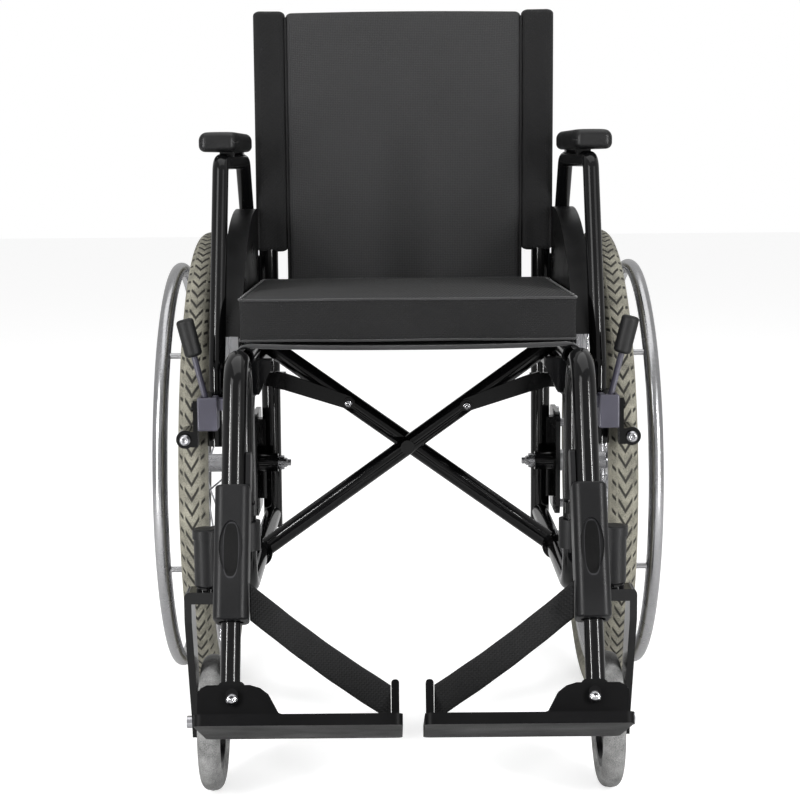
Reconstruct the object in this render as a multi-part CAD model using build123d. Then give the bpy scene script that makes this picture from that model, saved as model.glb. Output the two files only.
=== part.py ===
from build123d import *
from math import atan2, cos, degrees, hypot, radians, sin, sqrt
import os

# Folding manual wheelchair, in millimetres.
# X runs across the chair (+X is the occupant's left), Y runs front to back (the chair faces -Y)
# and Z runs up from the floor. The origin is on the floor under the middle of the bounding box.
# Each side is drawn once on +X and mirrored, except the crossed bars and their links.

# ---- driving dimensions ----
tyre_dia = 610.0            # rear tyre, outer
tyre_width = 35.0
tyre_depth = 35.0           # rim seat to tread
wheel_x = 251.0             # centre plane of the rear wheel
rim_depth = 22.0
rim_width = 29.0
spoke_count = 28
spoke_dia = 2.4
spoke_set = 2.3             # spokes that cross leave the flange this far off its middle
hub_dia = 34.0
hub_length = 56.0
hand_rim_dia = 531.0        # hand rim, outer
hand_rim_tube = 18.0
hand_rim_x = 293.7
hand_rim_tabs = 6
wheelbase = 390.0           # rear axle to front axle
caster_dia = 152.0
caster_width = 25.0
caster_x = 222.0
caster_trail = 45.0         # swivel axis to caster axle
caster_rim_dia = 104.0
fork_gap = 31.0             # between the fork arms
fork_plate = 8.0
fork_corner = 6.0           # outer rounding where the arms meet the crown
caster_axle_dia = 8.0
stem_dia = 12.0             # swivel stem of the fork
crown_bottom = 227.0
crown_thick = 13.0
housing_length = 64.0
housing_dia = 26.0
housing_cap = 29.0          # cap over the swivel bearing
frame_x = 181.0             # plane of the side frame tubes
post_dia = 25.0
rail_dia = 22.0             # upper and lower side tubes, seat rails, cross bars
wall = 2.0
post_y = 45.0               # back post behind the rear axle
front_post_y = -392.0
arm_front_x = 219.0          # armrest legs
arm_front_y = -298.0
arm_rear_offset = 27.5      # outward from the back post
axle_dia = 12.7
axle_nut_dia = 19.0
cross_bolt_dia = 8.0
guard_front = -272.0        # front edge of the side guard from the rear axle
shoe_x = 253.0              # brake shoe
shoe_z = 390.0
shoe_pivot_z = 426.0
lower_rail_z = 228.0
upper_rail_z = 452.0
seat_rail_z = 488.0
seat_rail_front = -378.0    # ends of the seat rails from the rear axle
seat_rail_rear = 18.0
cross_y = -180.0            # middle of the crossed bars
fold_gap = 96.0             # between the side frames when folded
link_bolt_from_top = 135.0  # along a cross bar, from its seat rail to the link bolt
link_pivot_up = 212.8       # above the lower rail
link_pivot_in = 24.5        # inward of the side frame plane
link_width = 16.0           # at the cross bar
link_drop = 14.0            # how far the wide end reaches below its pivot
cushion_width = 380.0
cushion_thick = 46.0
cushion_top = 547.0
cushion_front = -366.0
back_top = 905.0
back_panel_half = 155.0
back_panel_bottom = 515.0
sleeve_top = 893.0
sleeve_bottom = 582.0
handle_reach = 165.0
pad_x = 222.0
pad_width = 48.0
pad_thick = 24.0
pad_top = 737.0
pad_front = -212.0
pad_rear = 18.0
arm_tube_dia = 19.0
arm_lift = 55.0             # travel of the lift-out armrest
hanger_offset = -425.0      # swing axis from the rear axle
hanger_tube_dia = 25.0
hanger_bend = 38.0
hanger_bend_z = 454.0
hanger_slope = 66.0         # of the sloping leg, degrees above the floor
shroud_width = 35.0
shroud_length = 138.0
shroud_up = 72.0            # lower end of the shroud above the bolt, along the leg
strap_width = 42.0
leg_dia = 20.0              # tube that carries the footplate
footplate_bolt_z = 180.0
footplate_inner_x = 10.5
footplate_outer_x = 210.0
footplate_depth = 130.0
footplate_thick = 11.0
footplate_drop = 22.0       # bolt to the top face of the plate
footplate_pin_in = 5.0      # bolt inward of the leg
footplate_pin_down = 4.0    # bolt below the leg's end point
footplate_pin_dia = 8.0
heel_post = 46.0            # height of the post behind the heel
footplate_wall_top = 10.0   # top of the front wall above the bolt
brake_x = 227.0
brake_y = -330.0
brake_z = 419.0
lever_length = 101.0
clearance = 0.3             # between parts that move on each other
seam = 0.15                 # between parts that are fixed together

# ---- derived positions ----
tyre_r = tyre_dia / 2
axle_z = tyre_r
hanger_lean = radians(90 - hanger_slope)
bend_centre_y = hanger_offset - hanger_bend
leg_start_y = bend_centre_y - hanger_bend * cos(hanger_lean)
leg_start_z = hanger_bend_z + hanger_bend * sin(hanger_lean)
leg_down = (leg_start_z - footplate_bolt_z) / cos(hanger_lean)
bolt_y = leg_start_y - leg_down * sin(hanger_lean)
front_reach = -bolt_y + (footplate_drop + footplate_thick) * sin(hanger_lean)
front_reach = front_reach + footplate_depth / 2 * cos(hanger_lean)
axle_y = (front_reach - tyre_r) / 2   # puts the origin under the middle of the length
bar_half = hypot(frame_x, (seat_rail_z - lower_rail_z) / 2)
bar_angle = atan2((seat_rail_z - lower_rail_z) / 2, frame_x)
bar_layer = rail_dia / 2 + 3        # each cross bar from the middle plane between them
caster_axle_y = axle_y - wheelbase
stem_y = caster_axle_y - caster_trail
pivot_z = lower_rail_z
arm_rear_x = frame_x + arm_rear_offset
handle_z = back_top - post_dia / 2 - 12
back_panel_top = back_top - 12
grip_base = (241.6, 484.0)            # x and z of the brake grip's lower end
grip_tip = (252.0, 526.0)


def y_of(offset):
    """Y of a place given from the rear axle."""
    return axle_y + offset


def mirrored(shape):
    return mirror(shape, about=Plane.YZ)


def solid_tube(points, dia, bend):
    """A round bar along a line of points with rounded corners."""
    if len(points) > 2:
        path = FilletPolyline(*points, radius=bend)
    else:
        path = Line(*points)
    start = Plane(origin=path @ 0, z_dir=path % 0)
    return sweep(start * Circle(dia / 2), path=path)


def hollow_tube(points, dia, bend, thick=wall):
    return solid_tube(points, dia, bend) - solid_tube(points, dia - 2 * thick, bend)


def cyl(centre, axis, dia, length):
    """A cylinder centred on a point, along 'x', 'y' or 'z'."""
    turn = {"x": (0, 90, 0), "y": (90, 0, 0), "z": (0, 0, 0)}[axis]
    return Location(centre, turn) * Cylinder(dia / 2, length)


def box(x0, x1, y0, y1, z0, z1):
    middle = ((x0 + x1) / 2, (y0 + y1) / 2, (z0 + z1) / 2)
    return Location(middle) * Box(abs(x1 - x0), abs(y1 - y0), abs(z1 - z0))


def soft_box(x0, x1, y0, y1, z0, z1, radius):
    block = box(x0, x1, y0, y1, z0, z1)
    return fillet(block.edges(), radius)


def spin(outline, centre):
    """Turn an outline of (radius, x) points about the X axis through a centre."""
    wire = Polyline(*[(x, r) for r, x in outline], close=True)
    turned = revolve(make_face(wire), axis=Axis.X, revolution_arc=360)
    return Location(centre) * turned


# ---- side frame: one welded piece ----
def back_post_line():
    return [
        (frame_x, y_of(post_y), lower_rail_z - 18),
        (frame_x, y_of(post_y), handle_z),
        (frame_x, y_of(post_y + handle_reach), handle_z),
    ]


def side_frame():
    post_line = back_post_line()
    loop_line = [
        (frame_x, y_of(post_y), lower_rail_z),
        (frame_x, y_of(front_post_y), lower_rail_z),
        (frame_x, y_of(front_post_y), upper_rail_z),
        (frame_x, y_of(post_y), upper_rail_z),
    ]
    outer = solid_tube(post_line, post_dia, 55) + solid_tube(loop_line, rail_dia, 42)
    plate = box(frame_x + 15, frame_x + 21, y_of(-26), y_of(post_y + 22), 236, 372)
    outer += fillet(plate.edges().filter_by(Axis.X), 12)
    outer += box(frame_x, frame_x + 18, y_of(post_y - 10), y_of(post_y + 10), 250, 358)
    # axle receiver through the plate
    outer += cyl((frame_x + 5, y_of(0), axle_z), "x", 24, 32)
    # sockets that take the armrest legs
    outer += cyl((arm_front_x, y_of(arm_front_y), 408), "z", arm_tube_dia + 7, 62)
    outer += box(frame_x, arm_front_x, y_of(arm_front_y) - 7, y_of(arm_front_y) + 7, 425, 443)
    outer += cyl((arm_rear_x, y_of(post_y), 560), "z", arm_tube_dia + 6, 70)
    outer += box(frame_x, arm_rear_x - 10, y_of(post_y) - 8, y_of(post_y) + 8, 530, sleeve_bottom - 5)
    # cradles under the seat rail
    lip = seat_rail_z - 4
    for y, inward in ((y_of(seat_rail_front + 12), 29), (y_of(-45), 9)):
        outline = [(frame_x + 9, upper_rail_z - 6), (frame_x + 9, lip), (frame_x - inward, lip),
                   (frame_x - inward, lip - 10), (frame_x - 0.5 * inward - 1, upper_rail_z - 6)]
        face = make_face(Polyline(*[(x, y - 12, z) for x, z in outline], close=True))
        cradle = extrude(face, amount=24, dir=(0, 1, 0))
        outer += cradle - cyl((frame_x, y, seat_rail_z), "y", rail_dia + 2 * clearance, 40)
    # hanger pins on the front post
    for z in (346, 436):
        arm = box(frame_x - 9, frame_x + 9, y_of(hanger_offset), y_of(front_post_y), z - 5, z + 5)
        outer += arm - cyl((frame_x, y_of(hanger_offset), z), "z", hanger_tube_dia + 2 * clearance, 30)
    outer += cyl((frame_x, y_of(hanger_offset), 326), "z", 24, 12)
    outer += box(frame_x - 8, frame_x + 8, y_of(hanger_offset), y_of(front_post_y), 320, 332)
    inner = solid_tube(post_line, post_dia - 2 * wall, 55)
    inner += solid_tube(loop_line, rail_dia - 2 * wall, 42)
    frame = outer - inner
    frame -= cyl((frame_x + 10, y_of(0), axle_z), "x", axle_dia + 2 * clearance, 80)
    frame -= cyl((arm_front_x, y_of(arm_front_y), 412), "z", arm_tube_dia + 2 * clearance, 62)
    frame -= cyl((arm_rear_x, y_of(post_y), 566), "z", arm_tube_dia + 2 * clearance, 70)
    return frame


def link_bracket(layer):
    """Ear on the inner side of the upper rail that carries a stabiliser link."""
    y = y_of(cross_y) + layer - rail_dia / 2 - 1 + clearance + 4
    z = lower_rail_z + link_pivot_up
    x = frame_x - link_pivot_in
    ear = box(x - 9, frame_x - 2, y - 4, y + 4, z - 11, z + 6)
    return ear - cyl((frame_x, y_of(cross_y), upper_rail_z), "y", rail_dia - 1, 200)


def caster_housing():
    y = stem_y
    z0 = crown_bottom + crown_thick + 4
    body = cyl((caster_x, y, z0 + housing_length / 2), "z", housing_dia, housing_length)
    body = fillet(body.edges(), 2.5)
    body += cyl((caster_x, y, z0 + housing_length - 6), "z", housing_cap, 10)
    post = y_of(front_post_y)
    angle = degrees(atan2(y - post, caster_x - frame_x))
    reach = hypot(y - post, caster_x - frame_x)
    middle = ((caster_x + frame_x) / 2, (y + post) / 2, z0 + 47)
    web = Location(middle, (0, 0, angle)) * Box(reach, 14, 32)
    ring = cyl((frame_x, post, z0 + 47), "z", rail_dia + 9, 32)
    shape = body + web + ring
    shape -= cyl((frame_x, post, z0 + 47), "z", rail_dia + 2 * seam, 60)
    shape -= cyl((caster_x, y, z0 + 20), "z", stem_dia + 2 * clearance, 60)
    return shape


def caster_fork():
    z0 = crown_bottom
    arms = None
    axle = (caster_x, caster_axle_y, caster_dia / 2)
    half = fork_gap / 2
    outline = [
        (stem_y - 15, z0 + crown_thick),
        (stem_y + 15, z0 + crown_thick),
        (caster_axle_y + 13, caster_dia / 2 + 6),
        (caster_axle_y + 10, caster_dia / 2 - 15),
        (caster_axle_y - 10, caster_dia / 2 - 15),
        (caster_axle_y - 13, caster_dia / 2 + 6),
        (stem_y - 15, z0 - 20),
    ]
    face = make_face(Polyline(*[(0, y, z) for y, z in outline], close=True))
    for side in (-1, 1):
        arm = extrude(face, amount=fork_plate, dir=(1, 0, 0))
        shift = caster_x + (half if side > 0 else -half - fork_plate)
        arm = Location((shift, 0, 0)) * arm
        arms = arm if arms is None else arms + arm
    crown = box(caster_x - half - 1, caster_x + half + 1, stem_y - 15, stem_y + 15, z0, z0 + crown_thick)
    stem = cyl((caster_x, stem_y, z0 + crown_thick + 22), "z", stem_dia, 46)
    collar = cyl((caster_x, stem_y, z0 + crown_thick + 1.8), "z", stem_dia + 10, 3.6)
    fork = arms + crown
    corners = fork.edges().filter_by(Axis.Y).group_by(Axis.Z)[-1].sort_by(Axis.X)
    fork = fillet([corners[0], corners[-1]], fork_corner)
    return fork + stem + collar - cyl(axle, "x", caster_axle_dia + 2 * seam, 100)


def caster_tyre():
    half = caster_width / 2
    r0 = caster_rim_dia / 2 + seam
    r1 = caster_dia / 2
    ring = spin([(r0, -half + 3), (r1 - 8, -half), (r1 - 3, -half + 3), (r1, -half + 9),
                 (r1, half - 9), (r1 - 3, half - 3), (r1 - 8, half), (r0, half - 3)],
                (caster_x, caster_axle_y, r1))
    return ring


def caster_hub():
    half = caster_width / 2
    r1 = caster_rim_dia / 2
    bore = caster_axle_dia / 2 + clearance
    end = fork_gap / 2 - 1
    disc = spin([(bore, -end), (11, -end), (13, -6), (r1 - 9, -4), (r1 - 7, -half + 3),
                 (r1, -half + 3), (r1, half - 3), (r1 - 7, half - 3), (r1 - 9, 4), (13, 6),
                 (11, end), (bore, end)],
                (caster_x, caster_axle_y, caster_dia / 2))
    return disc


def caster_axle():
    centre = (caster_x, caster_axle_y, caster_dia / 2)
    span = fork_gap + 2 * fork_plate
    shape = cyl(centre, "x", caster_axle_dia, span + 8)
    for side in (-1, 1):
        shape += cyl((caster_x + side * (span / 2 + 3.5), caster_axle_y, caster_dia / 2), "x", 14, 7 - 2 * seam)
    return shape


# ---- rear wheel ----
wheel_centre = (wheel_x, axle_y, axle_z)
rim_seat_r = tyre_r - tyre_depth
rim_inner_r = rim_seat_r - rim_depth


def rear_tyre():
    half = tyre_width / 2
    r0 = rim_seat_r + seam
    points = [(r0, -half + 7), (r0 + 9, -half + 2), (r0 + 20, -half), (tyre_r - 8, -half + 4),
              (tyre_r - 2, -half + 10), (tyre_r, -5), (tyre_r, 5), (tyre_r - 2, half - 10),
              (tyre_r - 8, half - 4), (r0 + 20, half), (r0 + 9, half - 2), (r0, half - 7)]
    return spin(points, wheel_centre)


def rear_rim():
    half = rim_width / 2
    points = [(rim_seat_r, -half + 4), (rim_seat_r, half - 4), (rim_seat_r - 4, half), (rim_inner_r + 5, half),
              (rim_inner_r, half - 9), (rim_inner_r, -half + 9), (rim_inner_r + 5, -half), (rim_seat_r - 4, -half)]
    return spin(points, wheel_centre)


def rear_hub():
    """Hub shell with its quick-release axle."""
    half = hub_length / 2
    x0 = frame_x + 21 + 1 - wheel_x
    end = frame_x - 28 - wheel_x
    points = [(0, end), (axle_dia / 2 - 2, end), (axle_dia / 2 - 2, end + 4), (axle_dia / 2, end + 6),
              (axle_dia / 2, x0), (14, x0),
              (14, -half + 8), (22, -half + 8), (22, -half + 12), (12, -half + 15),
              (12, half - 15), (22, half - 12), (22, half - 8), (hub_dia / 2, half - 8), (15, half), (13, half),
              (13, half + 8), (6, half + 8), (6, half + 12), (0, half + 12)]
    return spin(points, wheel_centre)


def spokes():
    half = hub_length / 2 - 10
    made = []
    for i in range(spoke_count):
        side = 1 if i % 2 else -1
        turn = 1 if (i // 2) % 2 else -1
        lean = turn * radians(360 / spoke_count * 2.6)
        a = radians(360 / spoke_count * i)
        hub_r = 22 + clearance
        rim_r = rim_inner_r - clearance
        start = Vector(side * half + turn * spoke_set, hub_r * cos(a + lean), hub_r * sin(a + lean))
        end = Vector(side * 3, rim_r * cos(a), rim_r * sin(a))
        rod = end - start
        plane = Plane(origin=start + rod.normalized() * 1.2, z_dir=rod)
        made.append(Location(wheel_centre) * extrude(plane * Circle(spoke_dia / 2), amount=rod.length - 2.2))
    return made


def hand_rim():
    r = hand_rim_dia / 2 - hand_rim_tube / 2
    section = Plane.XZ * Location((0, r)) * Circle(hand_rim_tube / 2)
    ring = Location((hand_rim_x, axle_y, axle_z)) * revolve(section, axis=Axis.X, revolution_arc=360)
    x0 = wheel_x + rim_width / 2 + seam
    x1 = hand_rim_x - hand_rim_tube / 2 + 5
    tabs = []
    for i in range(hand_rim_tabs):
        a = radians(360 / hand_rim_tabs * i + 20)
        y = axle_y + r * cos(a)
        z = axle_z + r * sin(a)
        tabs.append(cyl(((x0 + x1) / 2, y, z), "x", 7, x1 - x0))
    return ring.fuse(*tabs)


# ---- crossed bars, drawn for the bar that rises towards +X ----
def cross_bar(layer):
    y = y_of(cross_y) + layer
    low = (-frame_x, y, pivot_z)
    high = (frame_x, y, seat_rail_z)
    rail_y0 = y_of(seat_rail_front)
    rail_y1 = y_of(seat_rail_rear)
    outer = solid_tube([low, high], rail_dia, 0)
    outer += cyl((-frame_x, y, pivot_z), "y", rail_dia + 9, 30)
    outer += cyl((frame_x, (rail_y0 + rail_y1) / 2, seat_rail_z), "y", rail_dia, rail_y1 - rail_y0)
    inner = solid_tube([low, high], rail_dia - 2 * wall, 0)
    hollow = cyl((frame_x, (rail_y0 + rail_y1) / 2, seat_rail_z), "y", rail_dia - 2 * wall, rail_y1 - rail_y0)
    bar = outer - inner - hollow
    bar -= cyl((-frame_x, y, pivot_z), "y", rail_dia + 2 * clearance, 60)
    bar -= cyl((0, y, (seat_rail_z + pivot_z) / 2), "y", cross_bolt_dia + 2 * clearance, 60)
    return bar


def cross_bolt():
    z = (seat_rail_z + pivot_z) / 2
    y0 = y_of(cross_y) - bar_layer - rail_dia / 2
    y1 = y_of(cross_y) + bar_layer + rail_dia / 2
    shape = cyl((0, (y0 + y1) / 2, z), "y", cross_bolt_dia, y1 - y0 + 8)
    shape += cyl((0, y0 - 2.5 - seam, z), "y", cross_bolt_dia + 9, 5)
    shape += cyl((0, y1 + 2.5 + seam, z), "y", cross_bolt_dia + 9, 5)
    shape += cyl((0, (y0 + y1) / 2, z), "y", cross_bolt_dia + 7, 2 * (bar_layer - rail_dia / 2) - 2 * clearance)
    return shape


def stabiliser_link(layer):
    """Flat link from the upper rail's ear to a bolt on the cross bar, on the +X side."""
    y0 = y_of(cross_y) + layer - rail_dia / 2 - 1 - 4
    x1 = frame_x - link_bolt_from_top * cos(bar_angle)
    z1 = seat_rail_z - link_bolt_from_top * sin(bar_angle)
    x0 = frame_x - link_pivot_in
    z0 = lower_rail_z + link_pivot_up
    length = hypot(x1 - x0, z1 - z0)
    half = link_width / 2
    along = Vector(x1 - x0, 0, z1 - z0).normalized()
    up = Vector(along.Z, 0, -along.X)
    outline = [(-8, 2), (-4, half - 1), (8, half), (length, half), (length + half - 2, half - 3),
               (length + half, 0), (length + half - 2, 3 - half), (length, -half), (12, -link_drop + 2),
               (-2, -link_drop), (-8, -link_drop + 6)]
    corners = [Vector(x0, y0, z0) + along * u + up * v for u, v in outline]
    face = make_face(Polyline(*corners, close=True))
    flat = extrude(face, amount=4, dir=(0, 1, 0))
    for x, z in ((x0, z0), (x1, z1)):
        flat += cyl((x, y0 - 2, z), "y", 13, 4)
    return flat


# ---- upholstery ----
def seat_sling():
    z = seat_rail_z + rail_dia / 2 + clearance
    return box(-frame_x - 4, frame_x + 4, y_of(seat_rail_front + 6), y_of(seat_rail_rear - 6), z, z + 2)


def seat_cushion():
    half = cushion_width / 2
    return soft_box(-half, half, y_of(cushion_front), y_of(31), cushion_top - cushion_thick + 0.6, cushion_top, 7)


def back_panel():
    half = back_panel_half - clearance
    return soft_box(-half, half, y_of(post_y - 11), y_of(post_y + 11), back_panel_bottom, back_panel_top, 6)


def back_sleeve():
    outer = frame_x + post_dia / 2 + 2
    block = soft_box(back_panel_half, outer, y_of(post_y - 16), y_of(post_y + 16),
                     sleeve_bottom, sleeve_top, 1.5)
    return block - solid_tube(back_post_line(), post_dia + 2 * seam, 55)


def push_grip():
    y0 = y_of(post_y + 62)
    y1 = y_of(post_y + handle_reach)
    end = 5
    grip = cyl((frame_x, (y0 + y1 + end) / 2, handle_z), "y", 33, y1 + end - y0)
    grip = fillet(grip.edges(), 4)
    return grip - cyl((frame_x, (y0 + y1) / 2 - 10 + seam, handle_z), "y", post_dia + 2 * seam, y1 - y0 + 20)


def side_guard():
    y0 = y_of(guard_front)
    y1 = y_of(22)
    x0 = frame_x + rail_dia / 2 + 1
    panel = box(x0, x0 + 3.5, y0, y1, upper_rail_z - 8, axle_z + 335)
    disc = cyl((x0 + 1.75, axle_y, axle_z), "x", 2 * 335, 20)
    panel = panel & disc
    ring = cyl((x0 + 13, axle_y, axle_z), "x", 2 * 335, 26) - cyl((x0 + 13, axle_y, axle_z), "x", 2 * 330, 40)
    flange = ring & box(x0, x0 + 26, y0, y1, upper_rail_z + 48, axle_z + 340)
    return panel + flange


def frame_bolts():
    made = []
    for y, z in ((-14, 250), (-14, 358), (post_y, 242.5), (post_y, 365.5)):
        made.append(cyl((frame_x + 21 + 2 + seam, y_of(y), z), "x", 11, 4))
    for y in (-170, 0):
        made.append(cyl((frame_x + rail_dia / 2 + 4.5 + 1.5 + seam, y_of(y), upper_rail_z + 2), "x", 9, 3))
    nut = cyl((frame_x - 11 - 4 - seam, axle_y, axle_z), "x", axle_nut_dia, 8)
    made.append(nut - cyl((frame_x - 20, axle_y, axle_z), "x", axle_dia + 2 * clearance, 30))
    return made


# ---- armrest ----
def arm_frame():
    z = pad_top - pad_thick - arm_tube_dia / 2 - 2
    line = [
        (arm_front_x, y_of(arm_front_y), 392),
        (arm_front_x, y_of(arm_front_y), 470),
        (218, y_of(pad_front - 2), z),
        (arm_rear_x, y_of(-10), z),
        (arm_rear_x, y_of(post_y), 625),
        (arm_rear_x, y_of(post_y), 540),
    ]
    tube = hollow_tube(line, arm_tube_dia, 18)
    saddle = box(207, 223, y_of(pad_front + 40), y_of(pad_front + 62), z, pad_top - pad_thick - seam)
    saddle += box(205, 221, y_of(-50), y_of(-28), z, pad_top - pad_thick - seam)
    saddle -= solid_tube(line, arm_tube_dia - 2 * wall, 18)
    return tube + saddle


def arm_pad():
    half = pad_width / 2
    pad = box(pad_x - half, pad_x + half, y_of(pad_front), y_of(pad_rear), pad_top - pad_thick, pad_top)
    front = pad.edges().filter_by(Axis.Z).group_by(Axis.Y)[0]
    pad = fillet(front, 18)
    return fillet(pad.edges().group_by(Axis.Z)[-1], 6)


# ---- parking brake ----
def brake_block():
    y = y_of(brake_y)
    block = box(brake_x - 11.5, brake_x + 11.5, y - 13, y + 13, brake_z - 19, brake_z + 19)
    block = fillet(block.edges(), 2)
    ring = cyl((frame_x, y, upper_rail_z), "y", rail_dia + 8, 22)
    arm = box(frame_x + 12, brake_x - 8, y - 8, y + 8, brake_z + 4, brake_z + 17)
    arm += box(frame_x + 8, frame_x + 15, y - 8, y + 8, brake_z + 4, upper_rail_z)
    shape = block + ring + arm
    shape -= cyl((frame_x, y, upper_rail_z), "y", rail_dia + 2 * seam, 60)
    slot = box(brake_x - 4.8, brake_x + 7.5, y - 10, y + 14, brake_z + 4.5, brake_z + 40)
    return shape - slot


def lever_axis():
    """Foot and tip of the brake lever's line."""
    y = y_of(brake_y)
    run = (grip_tip[0] - grip_base[0]) / (grip_tip[1] - grip_base[1])
    foot_z = brake_z + 12
    return (grip_base[0] - (grip_base[1] - foot_z) * run, y, foot_z), (grip_tip[0], y, grip_tip[1])


def brake_lever():
    foot, tip = lever_axis()
    run = Vector(tip) - Vector(foot)
    end = Vector(foot) + run * 0.85
    shaft = solid_tube([foot, (end.X, end.Y, end.Z)], 7, 0)
    return shaft + cyl((foot[0], foot[1], foot[2]), "x", 13, 8)


def brake_grip():
    foot, tip = lever_axis()
    run = Vector(tip) - Vector(foot)
    base = Vector(grip_base[0], foot[1], grip_base[1])
    grip = extrude(Plane(origin=base, z_dir=run) * Circle(10), amount=(Vector(tip) - base).length)
    grip = fillet(grip.edges(), 4)
    end = Vector(foot) + run * 0.85
    start = Plane(origin=base - run.normalized() * 5, z_dir=run)
    bore = extrude(start * Circle(3.5 + seam), amount=(end - base).length + 5 + seam)
    return grip - bore


def brake_shoe():
    y = y_of(brake_y)
    x0 = brake_x + 11.5 + clearance
    gap_y = axle_y - sqrt(tyre_r ** 2 - (axle_z - shoe_z) ** 2)
    arm = box(x0, x0 + 5, y - 8, y + 8, shoe_z - 8, shoe_pivot_z + 8)
    arm += cyl((x0 + 3.5, y, shoe_pivot_z), "x", 10, 7)
    arm += box(x0, shoe_x, y - 8, y - 2, shoe_z - 9, shoe_z + 9)
    arm += cyl((shoe_x, (y - 8 + gap_y - 7) / 2, shoe_z), "y", 21, gap_y - 7 - (y - 8))
    arm += cyl((shoe_x, y - 10, shoe_z), "y", 12, 4)
    return arm


# ---- footrest ----
def leg_point(x, along, forward, across=0.0):
    """A point by distance down the sloping leg and square to it, forward."""
    y = y_of(leg_start_y) - along * sin(hanger_lean) - forward * cos(hanger_lean)
    z = leg_start_z - along * cos(hanger_lean) + forward * sin(hanger_lean)
    return (x + across, y, z)


def leg_frame(x, along):
    """Local axes on the sloping leg: x across, y backward, z up the leg."""
    return Location(leg_point(x, along, 0), (-degrees(hanger_lean), 0, 0))


def pin_frame():
    """Local axes on the footplate's bolt."""
    return leg_frame(frame_x - footplate_pin_in, leg_down + footplate_pin_down)


def hanger_tube():
    top = 336
    steps = [(frame_x, y_of(hanger_offset), top), (frame_x, y_of(hanger_offset), hanger_bend_z)]
    rise = Line(*steps)
    end = leg_point(frame_x, 0, 0)
    middle_angle = (180 - degrees(hanger_lean)) / 2
    mid = (frame_x, y_of(bend_centre_y) + hanger_bend * cos(radians(middle_angle)),
           hanger_bend_z + hanger_bend * sin(radians(middle_angle)))
    arc = ThreePointArc(steps[1], mid, end)
    fall = Line(end, leg_point(frame_x, leg_down - 92, 0))
    path = Wire([rise.edge(), arc.edge(), fall.edge()])
    start = Plane(origin=steps[0], z_dir=(0, 0, 1))
    tube = sweep(start * Circle(hanger_tube_dia / 2), path=path)
    return tube - sweep(start * Circle(hanger_tube_dia / 2 - wall), path=path)


def hanger_shroud():
    length = shroud_length
    middle = leg_frame(frame_x, leg_down - shroud_up - length / 2)
    body = Box(shroud_width, 40, length)
    body = fillet(body.edges().filter_by(Axis.Z), 9)
    body = fillet(body.edges().group_by(Axis.Z)[0] + body.edges().group_by(Axis.Z)[-1], 3)
    recess = Location((0, -20, 4)) * Rot(90, 0, 0) * extrude(Ellipse(12, 27), amount=2.5, both=True)
    body -= recess
    tab = Location((-15, 6, length / 2 + 18)) * Box(5, 22, 40)
    body += fillet(tab.edges().filter_by(Axis.X), 6)
    body -= Cylinder(hanger_tube_dia / 2 + seam, length + 90)
    return middle * body


def footrest_leg():
    top = leg_down - 190
    bottom = leg_down + 12
    middle = leg_frame(frame_x, (top + bottom) / 2)
    tube = Cylinder(leg_dia / 2, bottom - top) - Cylinder(leg_dia / 2 - wall, bottom - top + 1)
    leg = middle * tube
    at_bolt = pin_frame()
    lug = Location((footplate_pin_in / 2, 0, 2)) * Box(27, 26, 27)
    lug = fillet(lug.edges().filter_by(Axis.Y), 6)
    pin = Location((0, -19, 0), (90, 0, 0)) * Cylinder(footplate_pin_dia / 2, 26)
    head = Location((0, -33.2, 0), (90, 0, 0)) * Cylinder(footplate_pin_dia / 2 + 2, 3)
    leg += at_bolt * (lug + pin + head)
    return leg


def footplate():
    top = -footplate_drop
    low = top - footplate_thick
    pin_x = frame_x - footplate_pin_in
    inner = footplate_inner_x - pin_x
    outer = footplate_outer_x - pin_x
    half = footplate_depth / 2
    middle = ((inner + outer) / 2, 0, (top + low) / 2)
    plate = Location(middle) * Box(outer - inner, footplate_depth, footplate_thick)
    plate = fillet(plate.edges().filter_by(Axis.Z), 8)
    crest = footplate_wall_top
    points = [(outer, low), (outer, crest - 8), (outer - 3, crest - 3), (outer - 9, crest), (-17, crest),
              (-27, crest - 3), (-35, crest - 9), (-45, top + 5), (-55, top + 1), (-66, top), (-66, low)]
    face = make_face(Polyline(*[(x, 0, z) for x, z in points], close=True))
    wall_front = Location((0, -18, 0)) * extrude(face, amount=12, dir=(0, -1, 0))
    cap = Location((outer - 5, 0, (crest + low) / 2 - 2)) * Box(10, 58, crest - low - 4)
    cap = fillet(cap.edges().filter_by(Axis.X), 9)
    post = Location((inner + 7, half - 12, top + heel_post / 2)) * Box(8, 14, heel_post)
    post = fillet(post.edges().group_by(Axis.Z)[-1].filter_by(Axis.Y), 3.5)
    shape = plate + wall_front + cap + post
    shape -= Location((0, -24, 0), (90, 0, 0)) * Cylinder(footplate_pin_dia / 2 + clearance, 30)
    return pin_frame() * shape


def heel_strap():
    """Flat webbing from the shroud's inner side to the post behind the heel."""
    half = footplate_depth / 2
    x0 = footplate_pin_in - shroud_width / 2 - 2 * clearance
    x1 = footplate_inner_x - frame_x + footplate_pin_in + 11 + 2 * clearance
    y1 = half - 12
    z0 = shroud_up + 4
    z1 = -footplate_drop + clearance
    corners = [(x0, 0, z0), (x0, 0, z0 + strap_width), (x1, y1, z1 + heel_post - 3), (x1, y1, z1 + 2)]
    face = make_face(Polyline(*corners, close=True))
    return pin_frame() * extrude(face, amount=1, both=True)


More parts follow.
